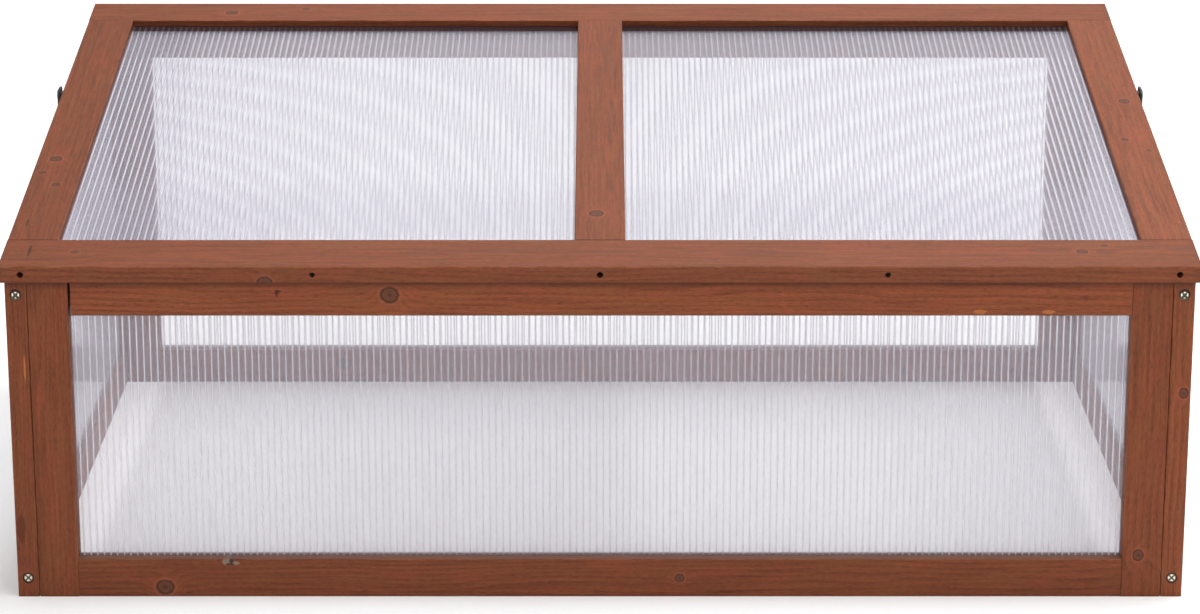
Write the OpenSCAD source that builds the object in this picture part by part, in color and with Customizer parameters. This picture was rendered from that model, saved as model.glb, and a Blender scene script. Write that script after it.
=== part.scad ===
// Cold frame: a bottomless wooden box glazed with twin-wall sheet, under a
// sloping glazed lid on two butt hinges, with a notched steel stay each side.
//
// X runs along the width, Y from front to back and Z up. The origin is on
// the ground, under the middle of the closed frame.

/* [Lid] */
// Width of the lid
lid_w = 1000; // [700:10:1400]
// Length of the lid, measured down its slope
lid_l = 650; // [500:10:900]
// Thickness of the lid's frame
lid_t = 15; // [14:1:24]
// Height of the lid's top face at its front edge
front_h = 298; // [220:2:420]
// Height of the lid's top face at its back edge
back_h = 388; // [300:2:560]
// Width of the lid's front rail
lid_front_rail_w = 57; // [40:1:80]
// Width of the lid's back rail
lid_back_rail_w = 49; // [36:1:80]
// Width of the lid's two side rails
lid_side_rail_w = 43; // [40:1:70]
// Width of the bar between the lid's two panes
lid_mullion_w = 43; // [36:1:70]
// Depth of the lid's panes below its top face
lid_pane_drop = 6.5; // [5:0.5:9]

/* [Box] */
// How far the lid stands out past the front of the box
front_overhang = 16; // [0:1:40]
// How far the lid stands out past each side of the box
side_overhang = 2; // [0:0.5:4]
// Thickness of the four wall frames
panel_t = 18; // [16:1:28]
// Width of the stiles and rails of the wall frames
frame_w = 34; // [28:1:50]
// Gap between the shut lid and the box
seat_gap = 0.3; // [0.2:0.1:0.8]
// Joint between a side frame and the front or back frame
corner_gap = 0.5; // [0.2:0.1:0.8]
// How much the front top rail is cut short at its left end
front_rail_short = 2.5; // [0:0.5:3]
// Width of the flat that eases the long edges of the wood
ease = 0.8; // [0.4:0.2:1.4]

/* [Glazing] */
// Thickness of the twin-wall sheet
pane_t = 4; // [3.6:0.2:5]
// Depth of the wall panes behind the outer faces
pane_set = 9.5; // [8:0.5:11]
// Distance from one rib of the sheet to the next
rib_pitch = 5.7; // [4:0.1:12]
// Thickness of a rib
rib_t = 0.35; // [0.3:0.05:0.6]
// Thickness of the sheet's two skins
skin_t = 0.4; // [0.3:0.05:0.6]
// Depth of the grooves that hold the panes
groove_depth = 6; // [5:0.5:8]
// How deep the panes reach into the grooves
pane_bite = 5; // [3:0.5:5]
// Play on each face of a pane in its groove
pane_slack = 0.15; // [0.1:0.05:0.3]

/* [Hinges] */
// Distance from the end of the lid to the middle of a hinge
hinge_inset = 200; // [100:10:280]
// Width of a hinge
hinge_w = 60; // [50:2:80]
// Height of a leaf from the axis
leaf_h = 13; // [12:0.5:14]
// Thickness of a leaf
leaf_t = 1.2; // [1:0.1:1.6]
// Outer radius of the knuckles
knuckle_r = 2.8; // [2.6:0.1:3.2]
// Radius of the hinge pins
hinge_pin_r = 1.4; // [1.2:0.1:1.6]
// Space between the knuckles and the wood
knuckle_gap = 0.4; // [0.3:0.1:0.8]
// Space between one knuckle and the next
knuckle_play = 0.3; // [0.2:0.1:0.6]
// Distance between the two screws of a leaf
leaf_screw_pitch = 36; // [24:2:44]

/* [Stays] */
// Angle at which the lowest notch holds the lid
open_angle = 60; // [50:5:65]
// How far the stays' pivots lie from the lid's back edge
stay_setback = 235; // [180:5:280]
// Width of the stays' steel strip
stay_w = 20; // [18:1:26]
// Thickness of the stays' steel strip
stay_t = 2; // [1.5:0.5:3]
// Space between the lid's edge and a stay
stay_standoff = 3; // [2.5:0.5:6]
// Strip past the pivot
stay_end = 7; // [6:0.5:12]
// Strip past the lowest notch
stay_tail = 12; // [9:1:20]
// Radius of the pegs where the notches hook on
peg_r = 2.5; // [2:0.25:3]
// Room round a peg in a notch
notch_room = 0.6; // [0.5:0.1:0.8]
// Height of the seat at the end of a notch
notch_seat = 1; // [0.5:0.5:2]
// Radius of the screws that the stays turn on
stay_screw_r = 2.5; // [2:0.25:3]

/* [Screws] */
// Length of the screws that hold stiles to rails
frame_screw_l = 50; // [44:1:52]
// Length of the screws that hold the frames together at the corners
corner_screw_l = 42; // [30:1:44]
// Radius of both screws' shanks
frame_screw_r = 2.2; // [1.8:0.1:2.4]
// Radius of both screws' heads
frame_head_r = 3.8; // [3.4:0.1:4.2]
// Length of the screws that join the lid's rails
lid_screw_l = 70; // [60:1:80]
// Length of the two short screws at the middle of the lid's panes
short_screw_l = 30; // [16:1:32]
// Depth of the lid's screw heads in their holes
lid_screw_sink = 9; // [4:0.5:12]
// Length of the hinge screws
hinge_screw_l = 13; // [10:1:14]

/* [Hidden] */
$fn = 48;

wood = "sienna";
sheet = [0.9, 0.9, 0.93, 0.5];
zinc = "khaki";
steel = "silver";
black = [0.12, 0.12, 0.13];

// Clearances of round parts
pin_play = 0.05;
screw_play = 0.05;
cut = 1;                    // how far a cutting shape runs past a face

// Slope of the lid, and the places that follow from it
tilt = asin((back_h - front_h) / lid_l);
axis_gap = knuckle_r + knuckle_gap;
depth = lid_l * cos(tilt) + lid_t * sin(tilt) + axis_gap + knuckle_r;
front_y = -depth / 2;       // the lid's front edge
box_front_y = front_y + front_overhang;
box_back_y = lid_point(lid_l, -lid_t)[0];

// The lid's hinge axis, level with its underside at the back
hinge_y = box_back_y + axis_gap;
hinge_z = lid_point(lid_l, -lid_t)[1];
hinge_x = lid_w / 2 - hinge_inset;
knuckle_l = hinge_w / 3;
leaf_gap = 0.8;             // from the axis to the near edge of a leaf
leaf_screw_z = 8;
pin_head_l = 1.4;

// Half widths of the box, outside and inside
box_x = lid_w / 2 - side_overhang;
side_in_x = box_x - panel_t;
cross_x = side_in_x - corner_gap;
open_x = cross_x - frame_w;
side_y1 = box_front_y + frame_w;
side_y2 = box_back_y - frame_w;

// The back frame's inner face
back_y0 = box_back_y - panel_t;
// The near faces of the panes in the front, back and right-hand frames
front_pane_y = box_front_y + pane_set;
back_pane_y = box_back_y - pane_set - pane_t;
side_pane_x = box_x - pane_set - pane_t;

// The lid's panes, from the mullion to a side rail and from front to back
lid_open_x1 = lid_mullion_w / 2;
lid_open_x2 = lid_w / 2 - lid_side_rail_w;
lid_open_y1 = lid_front_rail_w;
lid_open_y2 = lid_l - lid_back_rail_w;
lid_screw_x = lid_w / 2 - 18;
short_screw_x = (lid_open_x1 + lid_open_x2) / 2;

// Screws as length, shank radius, head radius and the depth of the head
head_sink = 0.4;
head_rim = 0.4;             // straight rim above the cone of a head
frame_screw = [frame_screw_l, frame_screw_r, frame_head_r, head_sink];
corner_screw = [corner_screw_l, frame_screw_r, frame_head_r, head_sink];
lid_screw = [lid_screw_l, 1.75, 2.7, lid_screw_sink];
short_screw = [short_screw_l, 1.5, 2.3, lid_screw_sink / 2];
hinge_screw = [hinge_screw_l, 1.4, 2.6, 0];
corner_inset = 55;          // from the foot, and from the seam, to a corner screw

// The stays: pivot, the pivot's place with the lid held open, and the peg
stay_pivot = lid_point(lid_l - stay_setback, -lid_t / 2);
stay_x = lid_w / 2 + stay_standoff;
peg_y = opened(open_angle)[0];
peg_z = seam(peg_y) - frame_w / 2;
notch_angles = [open_angle, open_angle - 10, open_angle - 20];
stay_l = reach(open_angle) + stay_tail;
stay_corner = 2;            // cut off the corners of the strip
stay_thread_l = 22;
stay_play = 0.1;            // beside the strip, on the spacer and under the head
peg_thread_l = 13;
peg_thread_r = 2;
peg_collar_r = peg_r + 2;
peg_side_play = 0.6;        // beside the strip, in the peg's neck

// A point of the lid, from the distance down its slope and the height over
// its top face, as [y, z]
function lid_point(s, t) = [front_y + s * cos(tilt) - t * sin(tilt),
    front_h + s * sin(tilt) + t * cos(tilt)];
// Height of the box's top edge at y
function seam(y) = front_h + (y - front_y) * tan(tilt)
    - (lid_t + seat_gap) / cos(tilt);
// Lower edge of a front or back top rail whose front face is at y
function under_rail(y) = seam(y) - frame_w;
// Where the stays' pivot is, as [y, z], when the lid is open by a
function opened(a) = let (dy = stay_pivot[0] - hinge_y, dz = stay_pivot[1] - hinge_z)
    [hinge_y + dy * cos(a) + dz * sin(a), hinge_z - dy * sin(a) + dz * cos(a)];
// Distance from that pivot to the peg
function reach(a) = norm(opened(a) - [peg_y, peg_z]);
// Opening of a side frame, grown by g, as [y, z] points
function side_outline(g) = [[side_y1 - g, frame_w - g], [side_y2 + g, frame_w - g],
    [side_y2 + g, under_rail(side_y2 + g) + g], [side_y1 - g, under_rail(side_y1 - g) + g]];
// Cross-section of a bar with eased edges
function eased(w, h) = [[ease, 0], [w - ease, 0], [w, ease], [w, h - ease],
    [w - ease, h], [ease, h], [0, h - ease], [0, ease]];

// ---- Shapes that repeat ----

module bar_x(l, w, h) rotate([90, 0, 90]) linear_extrude(l) polygon(eased(w, h));
module bar_y(l, w, h) translate([0, l, 0]) rotate([90, 0, 0])
    linear_extrude(l) polygon(eased(w, h));
module bar_z(w, d, l) linear_extrude(l) polygon(eased(w, d));

// Builds on the right side what children draw there, or on the left
module on_side(side) mirror([side < 0 ? 1 : 0, 0, 0]) children();
module both_sides() for (side = [-1, 1]) on_side(side) children();

// Lays children, drawn flat with the top face at z = 0, on the lid's slope
module on_lid() translate([0, front_y, front_h]) rotate([tilt, 0, 0]) children();

// All that lies above the box's top edge
module above_seam() translate([0, front_y, seam(front_y)]) rotate([tilt, 0, 0])
    translate([-lid_w, -lid_l, 0]) cube([2 * lid_w, 3 * lid_l, back_h]);

// Twin-wall sheet w wide and l long, its cells along Z and its face on XZ
module twinwall(w, l) {
    cells = floor((w - 2 * rib_t) / rib_pitch);
    edge = (w - cells * rib_pitch + rib_t) / 2;
    linear_extrude(l) difference() {
        square([w, pane_t]);
        for (i = [0 : cells - 1]) translate([edge + i * rib_pitch, skin_t])
            square([rib_pitch - rib_t, pane_t - 2 * skin_t]);
    }
}

// Countersunk cross-head screw, its head's top at the origin, pointing to +Z
module screw(kind) difference() {
    rotate_extrude() polygon([[0, 0], [kind[2], 0], [kind[2], head_rim],
        [kind[1], head_rim + kind[2] - kind[1]], [kind[1], kind[0] - 2 * kind[1]],
        [0, kind[0]]]);
    for (turn = [45, 135]) rotate(turn)
        cube([1.3 * kind[2], 0.3 * kind[2], 0.7 * kind[2]], center = true);
}

// The hole that a screw leaves in what it holds
module screw_hole(kind) rotate_extrude() polygon([[0, -kind[3] - cut],
    [kind[2] + screw_play, -kind[3] - cut], [kind[2] + screw_play, head_rim],
    [kind[1] + screw_play, head_rim + kind[2] - kind[1]],
    [kind[1] + screw_play, kind[0]], [0, kind[0] + screw_play]]);

module sunk(kind) translate([0, 0, kind[3]]) children();

// Places of the screws, each with +Z pointing into the wood
module at_cross_screws(y0) both_sides()
    for (z = [frame_w / 2, seam(y0) - frame_w / 2])
        translate([cross_x, y0 + panel_t / 2, z]) rotate([0, -90, 0])
            sunk(frame_screw) children();
module at_side_front_screws() for (z = [frame_w / 2, seam(box_front_y) - frame_w / 2])
    translate([box_x - panel_t / 2, box_front_y, z]) rotate([-90, 0, 0])
        sunk(frame_screw) children();
module at_side_back_screws() for (z = [frame_w / 2, seam(side_y2) - frame_w / 2])
    translate([box_x - panel_t / 2, box_back_y, z]) rotate([90, 0, 0])
        sunk(frame_screw) children();
module at_corner_screws() for (y = [box_front_y + panel_t / 2, box_back_y - panel_t / 2])
    for (z = [corner_inset, seam(y) - corner_inset])
        translate([box_x, y, z]) rotate([0, -90, 0]) sunk(corner_screw) children();
module at_lid_front(x, kind) on_lid() translate([x, 0, -lid_t / 2])
    rotate([-90, 0, 0]) sunk(kind) children();
module at_lid_back(x, kind) on_lid() translate([x, lid_l, -lid_t / 2])
    rotate([90, 0, 0]) sunk(kind) children();

// ---- Front and back frames ----

module cross_groove(pane_y) both_sides()
    translate([open_x, pane_y - pane_slack, -cut])
        cube([groove_depth, pane_t + 2 * pane_slack, back_h]);

module cross_pocket(y0, pane_y)
    translate([-open_x - groove_depth, pane_y - pane_slack, frame_w - groove_depth])
        cube([2 * (open_x + groove_depth), pane_t + 2 * pane_slack,
            under_rail(y0) - frame_w + 2 * groove_depth]);

module cross_stile(side, y0, pane_y) color(wood) on_side(side) difference() {
    translate([open_x, y0, 0]) bar_z(frame_w, panel_t, back_h);
    above_seam();
    cross_groove(pane_y);
    at_cross_screws(y0) screw_hole(frame_screw);
    at_corner_screws() screw_hole(corner_screw);
}

// Rail between the stiles, with a tongue at each end in the stiles' grooves
module cross_rail(y0, pane_y, z, h, short) color(wood) difference() {
    union() {
        translate([-open_x + short, y0, z]) bar_x(2 * open_x - short, panel_t, h);
        translate([-open_x - pane_bite, pane_y, z])
            cube([2 * (open_x + pane_bite), pane_t, h]);
    }
    above_seam();
    cross_pocket(y0, pane_y);
    at_cross_screws(y0) screw_hole(frame_screw);
}

module cross_bottom_rail(y0, pane_y) cross_rail(y0, pane_y, 0, frame_w, 0);
module cross_top_rail(y0, pane_y, short)
    cross_rail(y0, pane_y, under_rail(y0), back_h - under_rail(y0), short);

module cross_pane(y0, pane_y) color(sheet)
    translate([-open_x - pane_bite, pane_y, frame_w - pane_bite])
        twinwall(2 * (open_x + pane_bite), under_rail(y0) - frame_w + 2 * pane_bite);

module front_top_rail() cross_top_rail(box_front_y, front_pane_y, front_rail_short);
module back_top_rail() color(wood) difference() {
    cross_top_rail(back_y0, back_pane_y, 0);
    both_sides() at_hinge_box_screws() screw_hole(hinge_screw);
}

// ---- Side frames, drawn on the right ----

module side_slab(g) translate([0, side_y1 - g, -cut])
    cube([lid_w, side_y2 - side_y1 + 2 * g, 2 * back_h]);

module side_prism(g, x, t) translate([x, 0, 0]) rotate([90, 0, 90])
    linear_extrude(t) polygon(side_outline(g));

module side_stile(y) difference() {
    translate([side_in_x, y, 0]) bar_z(panel_t, frame_w, back_h);
    above_seam();
    for (edge = [side_y1 - groove_depth, side_y2])
        translate([side_pane_x - pane_slack, edge, -cut])
            cube([pane_t + 2 * pane_slack, groove_depth, back_h]);
    at_side_front_screws() screw_hole(frame_screw);
    at_side_back_screws() screw_hole(frame_screw);
    at_corner_screws() screw_hole(corner_screw);
}
module side_front_stile(side) color(wood) on_side(side) side_stile(box_front_y);
module side_back_stile(side) color(wood) on_side(side) side_stile(side_y2);

module side_pocket() side_prism(groove_depth, side_pane_x - pane_slack,
    pane_t + 2 * pane_slack);

module side_bottom_rail(side) color(wood) on_side(side) difference() {
    union() {
        translate([side_in_x, side_y1, 0]) bar_y(side_y2 - side_y1, panel_t, frame_w);
        translate([side_pane_x, side_y1 - pane_bite, 0])
            cube([pane_t, side_y2 - side_y1 + 2 * pane_bite, frame_w]);
    }
    side_pocket();
    at_side_front_screws() screw_hole(frame_screw);
    at_side_back_screws() screw_hole(frame_screw);
}

// A bar under the seam's slope, from x and w wide, cut off g past the opening
module seam_bar(x, w, g) intersection() {
    translate([x, front_y, seam(front_y)]) rotate([tilt, 0, 0])
        translate([0, 0, -frame_w * cos(tilt)])
            if (g > 0) cube([w, lid_l, frame_w * cos(tilt)]);
            else bar_y(lid_l, w, frame_w * cos(tilt));
    side_slab(g);
}

module side_top_rail(side) color(wood) on_side(side) difference() {
    union() {
        seam_bar(side_in_x, panel_t, 0);
        seam_bar(side_pane_x, pane_t, pane_bite);
    }
    side_pocket();
    at_side_front_screws() screw_hole(frame_screw);
    at_side_back_screws() screw_hole(frame_screw);
    at_peg() cylinder(h = 2 * peg_thread_l, r = peg_thread_r + screw_play, center = true);
}

module side_pane(side) color(sheet) on_side(side) intersection() {
    side_prism(pane_bite, side_pane_x, pane_t);
    translate([side_pane_x + pane_t, side_y1 - pane_bite, 0]) rotate(90)
        twinwall(side_y2 - side_y1 + 2 * pane_bite, back_h);
}

// ---- Lid ----

module lid_pocket(side) on_lid() on_side(side)
    translate([lid_open_x1 - groove_depth, lid_open_y1 - groove_depth,
        -lid_pane_drop - pane_t - pane_slack])
        cube([lid_open_x2 - lid_open_x1 + 2 * groove_depth,
            lid_open_y2 - lid_open_y1 + 2 * groove_depth, pane_t + 2 * pane_slack]);
module lid_pockets() for (side = [-1, 1]) lid_pocket(side);

module lid_front_rail() color(wood) difference() {
    on_lid() translate([-lid_w / 2, 0, -lid_t]) bar_x(lid_w, lid_front_rail_w, lid_t);
    lid_pockets();
    lid_front_joints() screw_hole(lid_screw);
    lid_short_joints() screw_hole(short_screw);
}
module lid_back_rail() color(wood) difference() {
    on_lid() translate([-lid_w / 2, lid_open_y2, -lid_t])
        bar_x(lid_w, lid_back_rail_w, lid_t);
    lid_pockets();
    lid_back_joints() screw_hole(lid_screw);
    both_sides() at_hinge_lid_screws() screw_hole(hinge_screw);
}
module lid_front_joints() for (x = [-lid_screw_x, 0, lid_screw_x])
    at_lid_front(x, lid_screw) children();
module lid_back_joints() for (x = [-lid_screw_x, 0, lid_screw_x])
    at_lid_back(x, lid_screw) children();
module lid_short_joints() for (x = [-short_screw_x, short_screw_x])
    at_lid_front(x, short_screw) children();

// A lengthwise bar of the lid, between its front and back rails
module lid_bar(x, w) color(wood) difference() {
    on_lid() translate([x, lid_open_y1, -lid_t])
        bar_y(lid_open_y2 - lid_open_y1, w, lid_t);
    lid_pockets();
    lid_front_joints() screw_hole(lid_screw);
    lid_back_joints() screw_hole(lid_screw);
    both_sides() at_stay_pivot(-stay_standoff)
        cylinder(h = 2 * stay_thread_l, r = stay_screw_r + screw_play, center = true);
}

module lid_pane(side) color(sheet) on_lid() on_side(side)
    translate([lid_open_x1 - pane_bite, lid_open_y1 - pane_bite, -lid_pane_drop])
        rotate([-90, 0, 0]) twinwall(lid_open_x2 - lid_open_x1 + 2 * pane_bite,
            lid_open_y2 - lid_open_y1 + 2 * pane_bite);

// ---- Hinges, drawn on the right ----

module at_hinge() translate([hinge_x, hinge_y, hinge_z]) children();
module at_leaf_screws() for (x = [-leaf_screw_pitch / 2, leaf_screw_pitch / 2])
    translate([x, 0, leaf_screw_z]) children();
// The box's leaf hangs down from the axis, and the lid's stands up on the slope
module box_leaf_side() at_hinge() mirror([0, 0, 1]) children();
module lid_leaf_side() at_hinge() rotate([tilt, 0, 0]) children();
module at_hinge_box_screws() box_leaf_side() at_leaf_screws()
    translate([0, leaf_t - axis_gap, 0]) rotate([90, 0, 0]) children();
module at_hinge_lid_screws() lid_leaf_side() at_leaf_screws()
    translate([0, leaf_t - axis_gap * cos(tilt), 0]) rotate([90, 0, 0]) children();

module knuckle(x, l, r) translate([x, 0, 0]) rotate([0, 90, 0]) cylinder(h = l, r = r);

// A leaf whose inner face is gap from the axis, with knuckles at the given
// thirds of its width
module leaf(gap, thirds) difference() {
    union() {
        translate([-hinge_w / 2, -gap, leaf_gap])
            cube([hinge_w, leaf_t, leaf_h - leaf_gap]);
        for (i = thirds) knuckle((i - 1.5) * knuckle_l, knuckle_l, knuckle_r);
    }
    for (i = [0 : 2]) if (len(search(i, thirds)) == 0)
        knuckle((i - 1.5) * knuckle_l - knuckle_play / 2, knuckle_l + knuckle_play,
            knuckle_r + knuckle_play);
    knuckle(-hinge_w, 2 * hinge_w, hinge_pin_r + pin_play);
}
module hinge_box_leaf(side) color(steel) on_side(side) difference() {
    box_leaf_side() leaf(axis_gap, [0, 2]);
    at_hinge_box_screws() screw_hole(hinge_screw);
}
module hinge_lid_leaf(side) color(steel) on_side(side) difference() {
    lid_leaf_side() leaf(axis_gap * cos(tilt), [1]);
    at_hinge_lid_screws() screw_hole(hinge_screw);
}
module hinge_pin(side) color(steel) on_side(side) at_hinge() {
    knuckle(-hinge_w / 2 - pin_head_l / 2, hinge_w + pin_head_l, hinge_pin_r);
    for (x = [-hinge_w / 2 - pin_head_l - pin_play, hinge_w / 2 + pin_play])
        knuckle(x, pin_head_l, 0.8 * knuckle_r);
}

// ---- Stays, drawn on the right ----

// Along +X from the pivot, from the strip's inner face moved out by x
module at_stay_pivot(x) translate([stay_x + x, stay_pivot[0], stay_pivot[1]])
    rotate([0, 90, 0]) children();
module at_peg() translate([box_x, peg_y, peg_z]) rotate([0, 90, 0]) children();

// A notch from the strip's back edge to its middle, with a seat at its end
module notch() {
    r = peg_r + notch_room;
    for (up = [0, notch_seat]) translate([0, 0, up]) rotate([0, 90, 0])
        cylinder(h = 3 * stay_t, r = r, center = true);
    translate([-1.5 * stay_t, 0, -r]) cube([3 * stay_t, stay_w, 2 * r]);
}

module stay(side) color(black) on_side(side) difference() {
    translate([stay_x, stay_pivot[0] - stay_w / 2, stay_pivot[1] - stay_l])
        rotate([90, 0, 90]) linear_extrude(stay_t) polygon([[stay_corner, 0],
            [stay_w - stay_corner, 0], [stay_w, stay_corner],
            [stay_w, stay_l + stay_end - stay_corner],
            [stay_w - stay_corner, stay_l + stay_end],
            [stay_corner, stay_l + stay_end], [0, stay_l + stay_end - stay_corner],
            [0, stay_corner]]);
    at_stay_pivot(0)
        cylinder(h = 3 * stay_t, r = stay_screw_r + pin_play, center = true);
    for (a = notch_angles)
        translate([stay_x + stay_t / 2, stay_pivot[0], stay_pivot[1] - reach(a)]) notch();
}
module stay_screw(side) color(black) on_side(side) at_stay_pivot(0)
    rotate_extrude() polygon([[0, -stay_standoff - stay_thread_l],
        [stay_screw_r, -stay_standoff - stay_thread_l + stay_screw_r],
        [stay_screw_r, stay_t + stay_play], [1.7 * stay_screw_r, stay_t + stay_play],
        [1.6 * stay_screw_r, stay_t + stay_play + 1], [0, stay_t + stay_play + 1.3]]);
module stay_spacer(side) color(black) on_side(side) difference() {
    at_stay_pivot(-stay_standoff)
        cylinder(h = stay_standoff - stay_play, r = 1.8 * stay_screw_r);
    at_stay_pivot(-stay_standoff)
        cylinder(h = 4 * stay_standoff, r = stay_screw_r + screw_play, center = true);
}

// Shouldered peg: thread, collar up to the stay, neck and head
module stay_peg(side) color(black) on_side(side) at_peg() {
    collar = stay_x - box_x - peg_side_play;
    neck = collar + stay_t + 2 * peg_side_play;
    rotate_extrude() polygon([[0, -peg_thread_l], [peg_thread_r, -peg_thread_l + peg_thread_r],
        [peg_thread_r, 0], [peg_collar_r, 0], [peg_collar_r, collar], [peg_r, collar],
        [peg_r, neck], [peg_collar_r, neck], [peg_collar_r, neck + 1.2],
        [0.7 * peg_collar_r, neck + 2], [0, neck + 2]]);
}

// ---- Screws ----

module front_frame_screws() color(zinc) at_cross_screws(box_front_y) screw(frame_screw);
module back_frame_screws() color(zinc) at_cross_screws(back_y0) screw(frame_screw);
module side_frame_screws() color(zinc) both_sides() {
    at_side_front_screws() screw(frame_screw);
    at_side_back_screws() screw(frame_screw);
}
module corner_screws() color(zinc) both_sides() at_corner_screws() screw(corner_screw);
module lid_front_screws() color(black) lid_front_joints() screw(lid_screw);
module lid_back_screws() color(black) lid_back_joints() screw(lid_screw);
module lid_short_screws() color(black) lid_short_joints() screw(short_screw);
module hinge_box_screws() color(zinc) both_sides() at_hinge_box_screws()
    screw(hinge_screw);
module hinge_lid_screws() color(zinc) both_sides() at_hinge_lid_screws()
    screw(hinge_screw);

cross_stile(-1, box_front_y, front_pane_y);  // front_left_stile
cross_stile(1, box_front_y, front_pane_y);  // front_right_stile
front_top_rail();
cross_bottom_rail(box_front_y, front_pane_y);  // front_bottom_rail
cross_pane(box_front_y, front_pane_y);  // front_pane
cross_stile(-1, back_y0, back_pane_y);  // back_left_stile
cross_stile(1, back_y0, back_pane_y);  // back_right_stile
back_top_rail();
cross_bottom_rail(back_y0, back_pane_y);  // back_bottom_rail
cross_pane(back_y0, back_pane_y);  // back_pane
side_front_stile(-1);  // left_front_stile
side_back_stile(-1);  // left_back_stile
side_top_rail(-1);  // left_top_rail
side_bottom_rail(-1);  // left_bottom_rail
side_pane(-1);  // left_pane
side_front_stile(1);  // right_front_stile
side_back_stile(1);  // right_back_stile
side_top_rail(1);  // right_top_rail
side_bottom_rail(1);  // right_bottom_rail
side_pane(1);  // right_pane
front_frame_screws();
back_frame_screws();
side_frame_screws();
corner_screws();
lid_front_rail();
lid_back_rail();
lid_bar(-lid_w / 2, lid_side_rail_w);  // lid_left_rail
lid_bar(lid_open_x2, lid_side_rail_w);  // lid_right_rail
lid_bar(-lid_open_x1, lid_mullion_w);  // lid_mullion
lid_pane(-1);  // lid_left_pane
lid_pane(1);  // lid_right_pane
lid_front_screws();
lid_back_screws();
lid_short_screws();
hinge_box_leaf(-1);  // left_hinge_box_leaf
hinge_lid_leaf(-1);  // left_hinge_lid_leaf
hinge_pin(-1);  // left_hinge_pin
hinge_box_leaf(1);  // right_hinge_box_leaf
hinge_lid_leaf(1);  // right_hinge_lid_leaf
hinge_pin(1);  // right_hinge_pin
hinge_box_screws();
hinge_lid_screws();
stay(-1);  // left_stay
stay_screw(-1);  // left_stay_screw
stay_spacer(-1);  // left_stay_spacer
stay_peg(-1);  // left_stay_peg
stay(1);  // right_stay
stay_screw(1);  // right_stay_screw
stay_spacer(1);  // right_stay_spacer
stay_peg(1);  // right_stay_peg
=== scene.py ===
"""Looks of the cold frame: stained softwood, twin-wall sheet, zinc and black steel.

Everything is in metres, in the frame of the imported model: X to the right, Y to the back, Z up.
"""
import math
import bpy
import numpy as np
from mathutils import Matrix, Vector


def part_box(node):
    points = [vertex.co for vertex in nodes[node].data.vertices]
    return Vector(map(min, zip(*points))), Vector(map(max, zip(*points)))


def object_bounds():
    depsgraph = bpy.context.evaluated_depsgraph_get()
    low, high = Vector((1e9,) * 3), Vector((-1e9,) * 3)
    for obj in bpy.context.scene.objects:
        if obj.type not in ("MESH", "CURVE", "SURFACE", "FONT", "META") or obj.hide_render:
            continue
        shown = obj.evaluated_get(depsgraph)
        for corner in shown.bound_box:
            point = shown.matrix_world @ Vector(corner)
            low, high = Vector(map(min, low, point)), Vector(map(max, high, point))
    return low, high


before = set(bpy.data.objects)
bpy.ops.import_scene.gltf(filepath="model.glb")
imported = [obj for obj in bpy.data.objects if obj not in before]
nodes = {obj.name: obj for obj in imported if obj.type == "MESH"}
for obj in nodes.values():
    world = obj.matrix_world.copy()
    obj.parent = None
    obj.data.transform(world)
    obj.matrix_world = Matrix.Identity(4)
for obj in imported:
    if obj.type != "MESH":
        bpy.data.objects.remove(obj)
cad_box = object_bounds()
MM = 0.001


def middle(node):
    """Centre of a node's box."""
    low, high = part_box(node)
    return (low + high) / 2


# ---- Directions and lengths read off the model ----

LID_TILT = math.atan2(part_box("lid_back_rail")[1].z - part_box("lid_front_rail")[1].z,
                      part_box("lid_back_rail")[1].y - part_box("lid_front_rail")[1].y)
RIGHT = Vector((1, 0, 0))
BACK = Vector((0, 1, 0))
UP = Vector((0, 0, 1))
SLOPE = Vector((0, math.cos(LID_TILT), math.sin(LID_TILT)))
SLOPE_UP = Vector((0, -math.sin(LID_TILT), math.cos(LID_TILT)))


# ---- Node trees written as expressions ----

class Out:
    """One output socket of a recipe. Arithmetic on it adds Math nodes."""

    def __init__(self, recipe, socket):
        self.recipe = recipe
        self.socket = socket

    def math(self, operation, *values):
        return self.recipe.node("ShaderNodeMath", {"operation": operation},
                                dict(enumerate(values)))["Value"]

    def __add__(self, other):
        return self.math("ADD", self, other)

    def __radd__(self, other):
        return self.math("ADD", other, self)

    def __sub__(self, other):
        return self.math("SUBTRACT", self, other)

    def __rsub__(self, other):
        return self.math("SUBTRACT", other, self)

    def __mul__(self, other):
        return self.math("MULTIPLY", self, other)

    def __rmul__(self, other):
        return self.math("MULTIPLY", other, self)

    def __truediv__(self, other):
        return self.math("DIVIDE", self, other)

    def __rtruediv__(self, other):
        return self.math("DIVIDE", other, self)

    def __pow__(self, other):
        return self.math("POWER", self, other)

    def __abs__(self):
        return self.math("ABSOLUTE", self)

    def sqrt(self):
        return self.math("SQRT", self)

    def exp(self):
        return self.math("EXPONENT", self)

    def fract(self):
        return self.math("FRACT", self)

    def most(self, other):
        return self.math("MAXIMUM", self, other)

    def least(self, other):
        return self.math("MINIMUM", self, other)

    def step(self, start, end):
        """0 before start and 1 after end, smooth between; it falls where end is below start."""
        rising = end > start
        return self.recipe.node("ShaderNodeMapRange", {"interpolation_type": "SMOOTHSTEP"}, {
            "Value": self, "From Min": min(start, end), "From Max": max(start, end),
            "To Min": 0.0 if rising else 1.0, "To Max": 1.0 if rising else 0.0})["Result"]


class Made:
    """A node of a recipe, whose outputs are read by name or number."""

    def __init__(self, recipe, made):
        self.recipe = recipe
        self.made = made

    def __getitem__(self, name):
        return Out(self.recipe, self.made.outputs[name])


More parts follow.
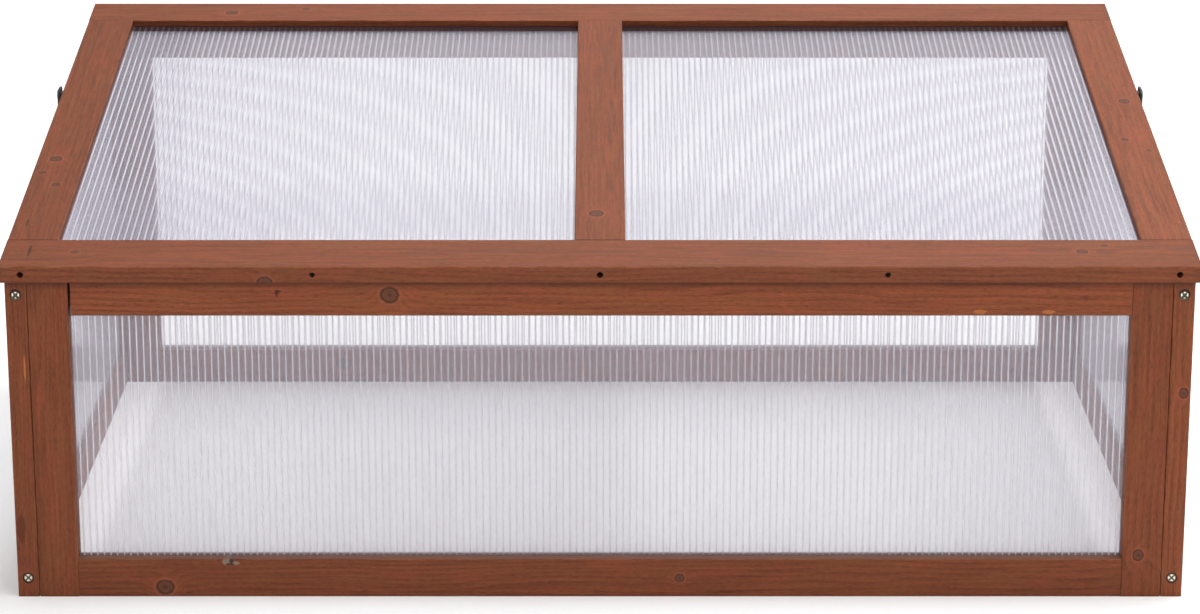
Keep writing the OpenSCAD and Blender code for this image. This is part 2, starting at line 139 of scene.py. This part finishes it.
class Recipe:
    """One material: a Principled shader and the nodes that feed it."""

    def __init__(self, name, **constants):
        self.material = bpy.data.materials.new(name)
        self.material.use_nodes = True
        self.tree = self.material.node_tree
        self.shader = self.tree.nodes["Principled BSDF"]
        for socket, value in constants.items():
            self.shader.inputs[socket.replace("_", " ")].default_value = value

    def node(self, kind, settings=None, sockets=None):
        """Adds a node, sets its settings and then its sockets, each to a value or a link."""
        made = self.tree.nodes.new(kind)
        for name, value in (settings or {}).items():
            setattr(made, name, value)
        for name, value in (sockets or {}).items():
            self.plug(made.inputs[name], value)
        return Made(self, made)

    def plug(self, socket, value):
        """Sets a socket to a number, a vector or a colour, or links it."""
        if isinstance(value, Out):
            self.tree.links.new(value.socket, socket)
        elif hasattr(socket.default_value, "__len__"):
            size = len(socket.default_value)
            socket.default_value = (*value, 1.0)[:size]
        else:
            socket.default_value = value

    def feed(self, **sockets):
        """Links what varies to the shader."""
        for name, value in sockets.items():
            self.plug(self.shader.inputs[name.replace("_", " ")], value)

    def place(self, *directions, origin=(0, 0, 0)):
        """Millimetres along each direction from an origin, in Object coordinates."""
        here = self.node("ShaderNodeTexCoord")["Object"]
        return [self.node("ShaderNodeVectorMath", {"operation": "DOT_PRODUCT"}, {
            0: here, 1: tuple(Vector(d) / MM)})["Value"] - Vector(d).dot(Vector(origin)) / MM
            for d in directions]

    def turned_to(self, direction):
        """How squarely the surface faces a direction, -1 to 1."""
        normal = self.node("ShaderNodeTexCoord")["Normal"]
        return self.node("ShaderNodeVectorMath", {"operation": "DOT_PRODUCT"}, {
            0: normal, 1: tuple(direction)})["Value"]

    def facing(self, *directions):
        """How squarely the surface faces each direction, 0 to 1, either way round."""
        return [abs(self.turned_to(direction)) for direction in directions]

    def vector(self, x, y, z):
        return self.node("ShaderNodeCombineXYZ", {}, {0: x, 1: y, 2: z})["Vector"]

    def noise(self, vector, detail=3.0, roughness=0.55):
        """Fractal noise, about 0 to 1 with a middle of 0.5, one cell per unit of the vector."""
        return self.node("ShaderNodeTexNoise", {}, {
            "Vector": vector, "Scale": 1.0, "Detail": detail, "Roughness": roughness})["Fac"]

    def mix(self, share, first, second, blend="MIX"):
        """Blends two colours."""
        return self.node("ShaderNodeMix", {"data_type": "RGBA", "blend_type": blend}, {
            0: share, 6: first, 7: second})[2]

    def bump(self, height, distance):
        """Normal that a height field, 1 standing for a distance in metres, gives the surface."""
        return self.node("ShaderNodeBump", {}, {
            "Strength": 1.0, "Distance": distance, "Height": height})["Normal"]


# ---- Stained softwood ----

EARLY_WOOD = (0.275, 0.076, 0.028)
LATE_WOOD = (0.118, 0.029, 0.0105)
DARK_WOOD = (0.055, 0.016, 0.008)
KNOT_WOOD = (0.125, 0.055, 0.030)
RED_WOOD = (0.30, 0.066, 0.030)
BROWN_WOOD = (0.215, 0.078, 0.026)
WORN_WOOD = (0.44, 0.19, 0.10)
FRESH_WOOD = (0.46, 0.15, 0.042)
GREY_WOOD = (0.26, 0.2, 0.15)
DUSTY_WOOD = (0.33, 0.20, 0.16)
# Near-black colour of the painted shade in holes and in the gaps round screw heads
HOLE_SHADE = (0.012, 0.007, 0.005)

RING_PITCH = 3.1
# How much longer than wide a knot is on a face and on an edge, how fast the rings' swing round
# it dies away, and how wide that swing is in knot sizes
KNOT_LENGTH = 1.15
EDGE_KNOT_LENGTH = 1.1
KNOT_FADE = 0.32
KNOT_SWING = 1.5
# Knots, as (along the piece, across it, size) in mm from the piece's middle
KNOTS = {
    "lid_front_rail": [(404, 3, 4.0), (424, 16, 2.6), (-440, 2, 3.0)],
    "lid_back_rail": [(-362, -3, 5.0), (-290, 8, 3.2)],
    "lid_left_rail": [(-90, -5, 5.0), (-150, 3, 3.6), (-122, -13, 3.0)],
    "lid_right_rail": [(52, 6, 4.6), (-44, -6, 3.2), (-70, 12, 2.4)],
    "lid_mullion": [(-215, -3, 5.6)],
    "front_top_rail": [(-176, 0, 6.4)],
    "front_bottom_rail": [(-372, -8, 6.2), (68, 0, 3.4)],
    "front_right_stile": [(-106, -3, 4.2)],
    "right_front_stile": [(38, 3, 3.8)],
    "left_top_rail": [(120, 4, 5.0)],
    "left_bottom_rail": [(-150, -5, 5.4), (90, 6, 3.6)],
    "right_top_rail": [(-60, -3, 4.2)],
    "right_bottom_rail": [(160, 3, 5.8), (-40, -8, 3.0)],
    "back_top_rail": [(230, 5, 6.0), (-120, -6, 3.8)],
    "back_bottom_rail": [(-260, 3, 6.2), (310, -6, 4.0)],
    "back_right_stile": [(40, 4, 4.6)],
}
# Knots on the lid's front edge, as (along, up, size), how far that edge is from its rail's
# middle, and how deep such a knot goes
EDGE_KNOTS = {"lid_front_rail": [(-279, -7.5, 5.6)]}
EDGE_OUT = 28.5
EDGE_KNOT_DEPTH = 12
# Marks in the stain, as (along, across, half length, half width, colour)
MARKS = {
    "front_top_rail": [(318, -15, 5.5, 2.0, FRESH_WOOD), (376, -15, 5.0, 1.8, FRESH_WOOD),
                       (400, 13, 14, 1.2, FRESH_WOOD), (-270.5, 1.5, 1.4, 3.0, DARK_WOOD),
                       (-269, 3.2, 2.4, 1.0, DARK_WOOD)],
    # The near-black oval in the bottom rail's chip is painted shade in a hole
    "front_bottom_rail": [(-318, 14.5, 5.0, 2.6, GREY_WOOD), (-311, 13.5, 3.0, 1.6, GREY_WOOD),
                          (-315, 15.2, 1.9, 1.7, HOLE_SHADE), (-316, 12.4, 3.4, 1.2, DARK_WOOD)],
    "lid_left_rail": [(-236, -10, 9.0, 0.8, DARK_WOOD)],
    "lid_front_rail": [(-478, 4, 1.3, 12.0, DARK_WOOD)],
    "left_front_stile": [(60, 5, 11.0, 1.0, FRESH_WOOD), (-83, -4, 12.0, 5.0, LATE_WOOD)],
}

# Pieces across whose tops the painted shadow of the lid's overhang falls
LID_SHADOWED = ("front_top_rail", "front_left_stile", "front_right_stile", "left_front_stile",
             "right_front_stile")
# The rails whose middles the screws in a stile's face stand level with
SCREWED = {
    "left_front_stile": ["front_bottom_rail", "front_top_rail"],
    "right_front_stile": ["front_bottom_rail", "front_top_rail"],
    "left_back_stile": ["back_bottom_rail", "back_top_rail"],
    "right_back_stile": ["back_bottom_rail", "back_top_rail"],
}


def log_of(number):
    """Seeds of a piece's noises, the place of its log's heart across and through, and its lean."""
    drift = np.random.default_rng(number + 7)
    seed = drift.uniform(-60, 60, 3)
    heart_v = drift.uniform(-26, 26)
    heart_w = drift.uniform(16, 34) * drift.choice((-1, 1))
    lean = drift.uniform(-0.02, 0.02)
    return seed, heart_v, heart_w, lean


def knots_in(node, u, v, w):
    """The squared distance to each knot of a piece, in knot sizes, and the knot's size."""
    found = []
    for knot_u, knot_v, size in KNOTS.get(node, []):
        du = (u - knot_u) / (KNOT_LENGTH * size)
        dv = (v - knot_v) / size
        found.append((du * du + dv * dv, size))
    for knot_u, knot_w, size in EDGE_KNOTS.get(node, []):
        du = (u - knot_u) / (EDGE_KNOT_LENGTH * size)
        dw = (w - knot_w) / size
        found.append((du * du + dw * dw + ((v + EDGE_OUT) / EDGE_KNOT_DEPTH) ** 2, size))
    return found


def paint_knots(wood, colour, knots, streak):
    """A red glow, pale bark, a ringed body with a dark eye and a dark rim round every knot."""
    nearest = knots[0][0]
    for squared, _ in knots[1:]:
        nearest = nearest.least(squared)
    reach = nearest.sqrt() + (streak - 0.5) * 0.5
    body = reach.step(1.08, 0.92)
    rings = (reach * 3.4).fract().step(0.35, 0.9).most(reach.step(0.40, 0.22))
    rim = reach.step(0.76, 0.98) * reach.step(1.18, 1.02)
    bark = reach.step(1.1, 1.3) * reach.step(1.55, 1.3)
    colour = wood.mix(reach.step(3.0, 1.2) * 0.28, colour, RED_WOOD)
    colour = wood.mix(bark * 0.16, colour, WORN_WOOD)
    colour = wood.mix(body * 0.8, colour, wood.mix(rings * 0.75, KNOT_WOOD, DARK_WOOD))
    return wood.mix(rim * 0.75, colour, DARK_WOOD)


def paint_marks(wood, colour, node, u, v, fibre, streak):
    """Chips, scratches and stains of a piece: ovals with ragged outlines."""
    if node not in MARKS:
        return colour
    ragged = (fibre - 0.5) * 2.4 + (streak - 0.5) * 2.8
    for mark_u, mark_v, half_u, half_v, paint in MARKS[node]:
        du = (u - mark_u) / half_u
        dv = (v - mark_v) / half_v
        inside = (du * du + dv * dv + ragged).step(1.15, 0.8)
        colour = wood.mix(inside * 0.85, colour, paint)
    return colour


def paint_screw_hole_shade(wood, colour, node, along, u, v):
    """A dark ring round each screw head in a stile's face: painted shade in the gap round the
    head.
    """
    for rail in SCREWED.get(node, []):
        du = u - (middle(rail) - middle(node)).dot(along) / MM
        from_screw = (du * du + v * v).sqrt()
        colour = wood.mix(from_screw.step(5.4, 4.3) * 0.9, colour, HOLE_SHADE)
    return colour


def stained_wood(node, number, along, across, tone):
    """Growth rings of a log whose heart lies outside the piece, drawn out along the grain.

    A ring's darkness is the fraction of the distance to the heart over the ring pitch, which
    rises slowly through the early wood and falls at once after the late wood. A knot adds a bell
    to that distance, so that the rings flow round it. Fibres are noise drawn out along the grain.
    """
    wood = Recipe(f"stained_wood_{node}", Specular_IOR_Level=0.2)
    through = along.cross(across)
    low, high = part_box(node)
    half = abs((high - low).dot(along)) / 2 / MM
    u, v, w = wood.place(along, across, through, origin=middle(node))
    seed, heart_v, heart_w, lean = log_of(number)

    wander = wood.noise(wood.vector(u / 210 + seed[0], v / 46 + seed[1], w / 46), 2.0) - 0.5
    heart = ((v - heart_v + lean * u) ** 2 + (w - heart_w) ** 2).sqrt() + wander * 15
    knots = knots_in(node, u, v, w)
    for squared, size in knots:
        heart = heart + (squared * -KNOT_FADE).exp() * size * KNOT_SWING
    ring = (heart / RING_PITCH).fract()
    late = (ring ** 2.4) * ring.step(1.0, 0.9)
    streak = wood.noise(wood.vector(u / 75 + seed[2], v / 2.6, w / 2.6 + seed[0]), 3.0, 0.62)
    fibre = wood.noise(wood.vector(u / 6, v + seed[1], w), 3.0, 0.7)
    pore = wood.noise(wood.vector(u / 4.5, v * 1.3, w * 1.3 + seed[2]), 0.0).step(0.64, 0.74)
    stain = wood.noise(wood.vector(u / 130, v / 30 + seed[2], w / 30), 3.0)
    patch = wood.noise(wood.vector(u / 45 + seed[1], v / 13, w / 13), 3.0, 0.6)

    shade = 0.36 + late * 0.42 + (0.5 - streak) * 1.3 + (0.5 - fibre) * 1.5
    colour = wood.mix(shade.most(0.0).least(1.0), EARLY_WOOD, LATE_WOOD)
    colour = wood.mix(patch.step(0.48, 0.72) * 0.3, colour, RED_WOOD)
    colour = wood.mix(patch.step(0.50, 0.30) * 0.3, colour, BROWN_WOOD)
    tint = (0.86 + stain * 0.28) * tone
    colour = wood.mix(1.0, colour, wood.vector(tint, tint, tint), "MULTIPLY")
    colour = wood.mix(pore * 0.35, colour, DARK_WOOD)
    if knots:
        colour = paint_knots(wood, colour, knots, streak)
    colour = paint_marks(wood, colour, node, u, v, fibre, streak)
    colour = paint_screw_hole_shade(wood, colour, node, along, u, v)
    if node in LID_SHADOWED:
        # Painted shadow of the lid's overhang: the top of the front is darkened under the lid's
        # lower edge
        height, = wood.place(UP, origin=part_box("lid_front_rail")[0])
        colour = wood.mix(height.step(-10.5, -2.0) * 0.72, colour, DARK_WOOD)

    # The eased edges are rubbed pale in places, and the lower ones are darkened with painted shade
    square = wood.facing(along, across, through)
    edge = square[0].most(square[1]).most(square[2]).step(0.97, 0.82)
    shaded_under = edge * wood.turned_to(-UP).step(0.2, 0.6)
    rub = wood.noise(wood.vector(u / 22, v / 9, w / 9 + seed[0]), 4.0, 0.7).step(0.38, 0.66)
    colour = wood.mix(edge * rub * 0.36, colour, WORN_WOOD)
    colour = wood.mix(shaded_under * 0.75, colour, DARK_WOOD)
    if node.startswith("lid_"):
        # Painted shade: the lid's edges, which face out, are made darker than its top
        colour = wood.mix(square[1].step(0.9, 0.99) * 0.11, colour, DARK_WOOD)
    if node.endswith("bottom_rail"):
        # Dust lies on the ledge under the sheet
        colour = wood.mix(wood.turned_to(UP).step(0.9, 0.99) * 0.4, colour, DUSTY_WOOD)
    # The cut ends drink more stain
    end = square[0].step(0.9, 0.99)
    near_end = (abs(u) - half).step(-5.0, 0.0)
    colour = wood.mix(end * 0.5 + near_end * 0.18, colour, DARK_WOOD)

    grain = fibre * 0.5 + streak * 0.6
    wood.feed(Base_Color=colour,
              Roughness=0.60 - late * 0.08 + (fibre - 0.5) * 0.22 + edge * rub * 0.1,
              Normal=wood.bump(grain, 0.00016))
    return wood.material


def dress_wood():
    """Gives every piece of wood its own cut of the material, with the grain along its length."""
    tones = {"lid_left_rail": 0.95, "lid_right_rail": 1.11, "lid_back_rail": 1.02,
             "front_bottom_rail": 0.95, "front_top_rail": 1.2, "left_front_stile": 0.95,
             "right_front_stile": 1.1}
    pieces = [n for n in sorted(nodes) if n.endswith(("rail", "stile", "mullion"))]
    for number, node in enumerate(pieces):
        if node.endswith("stile"):
            along = UP
            across = RIGHT
        elif node in ("lid_left_rail", "lid_right_rail", "lid_mullion"):
            along = SLOPE
            across = RIGHT
        elif node.startswith(("left_", "right_")):
            along = SLOPE if node.endswith("top_rail") else BACK
            across = UP if node.endswith("bottom_rail") else SLOPE_UP
        else:
            along = RIGHT
            across = SLOPE if node.startswith("lid_") else UP
        set_material(node, stained_wood(node, number, along, across, tones.get(node, 1.0)))


# ---- Twin-wall sheet ----

RIB_PITCH = 5.7
RIB_T = 0.35
# Colours of the haze, of what covers a rib and of a rib's own wall, and the haze's share
LID_PAINT = (0.41, 0.395, 0.48), (0.36, 0.34, 0.41), (0.80, 0.78, 0.85), 0.0
WALL_PAINT = (0.74, 0.74, 0.82), (0.60, 0.58, 0.64), (0.97, 0.94, 0.98), 0.05
SIDE_PAINT = (0.41, 0.40, 0.45), (0.38, 0.36, 0.41), (0.85, 0.83, 0.89), 0.05
# Colour and width of the painted shadow across the upper ends of the lid's flutes
RAIL_SHADOW = (0.045, 0.030, 0.036)
RAIL_SHADOW_W = 21.0
# What a face hides by its mirror when it is seen face on
LEAST_MIRROR = 0.04
# The painted glow of the ribs' own walls, and the depth of a face's belly between two ribs, in
# metres
RIB_GLOW = 0.2
BELLY = 0.00012


def twin_wall_sheet(node, across, along, paint):
    """Clear sheet with a rib every pitch, hazy between the ribs and milky over each rib.

    A face hides what is behind it by its haze and by its mirror share, which rises from
    LEAST_MIRROR, face on, with the fifth power of how far it is turned away. The ribs' own walls
    are whiter and glow: painted light for light that enters at the sheet's edges and comes out of
    them.
    """
    sheet = Recipe(f"twin_wall_{node}", Roughness=0.12, IOR=1.58, Coat_Weight=0.5,
                   Emission_Strength=1.0)
    milk, cover, white, haze = paint
    low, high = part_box(node)
    width = abs((high - low).dot(across)) / MM
    length = abs((high - low).dot(along)) / MM
    cells = math.floor((width - 2 * RIB_T) / RIB_PITCH + 1e-6)
    start = 0.0 if cells % 2 == 0 else RIB_PITCH / 2
    x, y = sheet.place(across, along, origin=middle(node))
    from_rib = abs(((x - start) / RIB_PITCH + 0.5).fract() - 0.5) * RIB_PITCH
    rib = from_rib.step(0.75, 0.35)
    # A faint painted highlight beside each rib
    flank_highlight = from_rib.step(0.7, 1.2) * from_rib.step(1.9, 1.2)
    uneven = sheet.noise(sheet.vector(x / 60, y / 90, 0.0), 1.0)
    turned = sheet.node("ShaderNodeLayerWeight", {}, {"Blend": 0.5})["Facing"]
    mirror = LEAST_MIRROR + turned ** 5.0 * (1 - LEAST_MIRROR)
    wall = sheet.facing(across)[0].step(0.6, 0.9)
    colour = sheet.mix(rib, milk, cover)
    colour = sheet.mix(wall, colour, white)
    alpha = haze + uneven * 0.02 + mirror + rib * 0.27 + flank_highlight * 0.015 + wall * 0.2
    if along is SLOPE:
        # Painted shadow of the lid's back rail across the upper ends of the flutes, and dust that
        # settles at the lower ends
        rail_shadow = y.step(length / 2 - RAIL_SHADOW_W, length / 2 - RAIL_SHADOW_W + 3)
        dust = (y + uneven * 60).step(-60, -170)
        colour = sheet.mix(rail_shadow, colour, RAIL_SHADOW)
        alpha = alpha + rail_shadow * 0.3 + dust * 0.07
    belly = (from_rib / (RIB_PITCH / 2)) ** 2.0
    # Painted light: the ribs' walls glow
    glow = wall * RIB_GLOW
    sheet.feed(Base_Color=colour, Alpha=alpha.least(1.0),
               Emission_Color=sheet.vector(glow, glow * 0.97, glow * 1.05),
               Normal=sheet.bump(belly, BELLY))
    return sheet.material


def dress_sheets():
    """Gives every pane its sheet, with the flutes up the walls and down the lid's slope."""
    for node in nodes:
        if node.endswith("pane"):
            if node.startswith("lid_"):
                sheet = twin_wall_sheet(node, RIGHT, SLOPE, LID_PAINT)
            elif node.startswith(("left_", "right_")):
                sheet = twin_wall_sheet(node, BACK, UP, SIDE_PAINT)
            else:
                sheet = twin_wall_sheet(node, RIGHT, UP, WALL_PAINT)
            set_material(node, sheet)


# ---- Metals ----

# Colour of the painted shade on the screw heads
HEAD_SHADE = (0.03, 0.024, 0.02)
# Where the painted dark rim of a head starts and ends, and the half width of its painted dark
# cross recess
HEAD_RIM = 2.7, 3.5
CROSS_HALF = 0.7, 1.3
# Where the painted shade below a head's face starts and ends
HEAD_SINK = 0.12, 0.5


def screw_heads(metal, plate):
    """Paints shade on the rims and in the cross recesses of the heads in the side frames' front
    and back.

    A head's middle stands in the middle of a stile's width, level with the middle of a rail.
    """
    low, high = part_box("side_frame_screws")
    side, depth, height = metal.place(RIGHT, BACK, UP)
    du = abs(abs(side) - middle("right_front_stile").x / MM)
    dz = None
    for wall in ("front", "back"):
        for rail in ("top", "bottom"):
            off = abs(height - middle(f"{wall}_{rail}_rail").z / MM)
            dz = off if dz is None else dz.least(off)
    rim = (du * du + dz * dz).sqrt().step(*HEAD_RIM)
    cross = abs(du - dz).step(CROSS_HALF[1], CROSS_HALF[0])
    below = (depth - low.y / MM).least(high.y / MM - depth).step(*HEAD_SINK)
    return metal.mix(rim.most(cross).most(below) * 0.9, plate, HEAD_SHADE)


def plated_steel(name, colour, dull, roughness, finish=None):
    """Zinc plate: bright metal, clouded by handling and pitted very finely."""
    metal = Recipe(name, Metallic=1.0)
    x, y, z = metal.place(RIGHT, BACK, UP)
    cloud = metal.noise(metal.vector(x / 2.2, y / 2.2, z / 2.2), 4.0, 0.65)
    grit = metal.noise(metal.vector(x * 5, y * 5, z * 5), 2.0)
    plate = metal.mix(cloud.step(0.42, 0.72), colour, dull)
    if finish is not None:
        plate = finish(metal, plate)
    metal.feed(Base_Color=plate,
               Roughness=roughness + cloud * 0.22,
               Normal=metal.bump(grit, 0.00002))
    return metal.material


def black_steel():
    """Satin black coat over steel, with an orange-peel skin and bare scratches."""
    coat = Recipe("black_steel", Coat_Weight=0.15)
    x, y, z = coat.place(RIGHT, BACK, UP)
    peel = coat.noise(coat.vector(x * 1.6, y * 1.6, z * 1.6), 2.0)
    worn = coat.noise(coat.vector(x * 2, y / 1.3, z / 9), 5.0, 0.7).step(0.66, 0.78)
    coat.feed(Base_Color=coat.mix(worn * 0.5, (0.014, 0.014, 0.016), (0.22, 0.21, 0.20)),
              Metallic=worn * 0.6, Roughness=0.36 + peel * 0.22 + worn * 0.1,
              Normal=coat.bump(peel, 0.00005))
    return coat.material


def set_material(node, material):
    """Puts a material in the node's object slots and leaves its mesh alone."""
    piece = nodes[node]
    for slot in piece.material_slots:
        slot.link = "OBJECT"
        slot.material = material


def dress_metals():
    """Yellow zinc on the screws that show, dull zinc on those inside, black steel on the stays."""
    yellow = (0.92, 0.84, 0.68), (0.70, 0.60, 0.44)
    heads = plated_steel("yellow_zinc_heads", *yellow, 0.32, screw_heads)
    plain = plated_steel("yellow_zinc", *yellow, 0.32)
    dull = plated_steel("dull_zinc", (0.16, 0.14, 0.11), (0.08, 0.07, 0.055), 0.55)
    bright = plated_steel("bright_zinc", (0.52, 0.53, 0.55), (0.31, 0.32, 0.34), 0.36)
    black = black_steel()
    coats = {"side_frame_screws": heads, "corner_screws": plain, "hinge_box_screws": plain,
             "hinge_lid_screws": plain}
    for node in nodes:
        if node.endswith("screws"):
            set_material(node, black if node.startswith("lid_") else coats.get(node, dull))
        elif "hinge" in node:
            set_material(node, bright)
        elif "stay" in node:
            set_material(node, black)


# ---- Floor, light and camera ----

def grid(name, x, y, z):
    """A surface through three arrays of one shape, as quads between neighbours."""
    rows, columns = x.shape
    number = np.arange(rows * columns).reshape(rows, columns)
    quads = np.stack([number[:-1, :-1], number[:-1, 1:], number[1:, 1:], number[1:, :-1]], -1)
    mesh = bpy.data.meshes.new(name)
    points = np.stack([x, y, z], -1).reshape(-1, 3)
    mesh.from_pydata(points.tolist(), [], quads.reshape(-1, 4).tolist())
    made = bpy.data.objects.new(name, mesh)
    bpy.context.scene.collection.objects.link(made)
    return made


# The floor's own glow inside the walls, beside them and far away; the weaker glow inside the walls
# is painted shade
INNER_GLOW = 0.05
GLOW = 0.25
FAR_GLOW = 0.6
# Half the floor's side
FLOOR_REACH = 14


def pale_floor():
    """A flat square, faintly mottled, level with the feet of the walls, glowing around them and
    less inside them: painted shade.
    """
    span = np.linspace(-FLOOR_REACH, FLOOR_REACH, 3)
    x, y = np.meshgrid(span, span)
    floor = grid("studio_floor", x, y, np.zeros_like(x) + cad_box[0].z)
    paint = Recipe("studio_floor", Roughness=0.9, Specular_IOR_Level=0.1,
                   Emission_Strength=1.0)
    low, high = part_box("front_bottom_rail")[0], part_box("back_bottom_rail")[1]
    side, depth = paint.place(RIGHT, BACK, origin=(low + high) / 2)
    beyond = (abs(side) - high.x / MM).most(abs(depth) - (high.y - low.y) / 2 / MM)
    # Less glow inside the walls: painted shade
    glow = (INNER_GLOW + beyond.step(-16.0, 0.0) * (GLOW - INNER_GLOW)
            + beyond.step(600, 4000) * (FAR_GLOW - GLOW))
    cloud = paint.noise(paint.vector(side / 300, depth / 300, 0.0))
    paint.feed(Base_Color=paint.mix(cloud, (0.90, 0.90, 0.90), (0.94, 0.94, 0.94)),
               Emission_Color=paint.vector(glow, glow, glow))
    floor.data.materials.append(paint.material)


def soft_box(name, place, aim, size, power):
    """A square area light that looks at a point."""
    light = bpy.data.lights.new(name, "AREA")
    light.size = size
    light.energy = power
    made = bpy.data.objects.new(name, light)
    made.location = place
    made.rotation_euler = (Vector(aim) - Vector(place)).to_track_quat("-Z", "Y").to_euler()
    bpy.context.scene.collection.objects.link(made)


# Strength of the white surround
SURROUND = 0.46


def studio():
    """An even white surround, a large soft box overhead and weaker ones behind and in front."""
    world = bpy.data.worlds.new("studio")
    world.use_nodes = True
    surround = world.node_tree.nodes["Background"]
    surround.inputs["Color"].default_value = (1, 1, 1, 1)
    surround.inputs["Strength"].default_value = SURROUND
    bpy.context.scene.world = world
    soft_box("overhead", (0.9, 0.1, 3.4), (0, 0, 0.3), 2.6, 112)
    soft_box("back", (0.6, 5.0, 3.6), (0, 0, 0.3), 3.4, 40)
    soft_box("front", (2.2, -3.6, 2.4), (0, 0, 0.2), 1.8, 20)
    bpy.context.scene.view_settings.view_transform = "Standard"
    bpy.context.scene.cycles.transparent_max_bounces = 24


# The camera's distance before the lid's front edge, its height, its look down, and its lens in
# millimetres
EYE_BEFORE_FRONT = 2.945
EYE_HEIGHT = 1.126
EYE_PITCH = math.radians(16.33)
LENS = 110.58


def camera():
    """A long lens in the middle, looking down at the lid."""
    lens = bpy.data.cameras.new("camera")
    lens.sensor_width = 36
    lens.lens = LENS
    eye = bpy.data.objects.new("camera", lens)
    eye.location = (0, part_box("lid_front_rail")[0].y - EYE_BEFORE_FRONT, EYE_HEIGHT)
    eye.rotation_euler = (math.pi / 2 - EYE_PITCH, 0, 0)
    bpy.context.scene.collection.objects.link(eye)
    bpy.context.scene.camera = eye


camera()
studio()
pale_floor()
dress_wood()
dress_sheets()
dress_metals()
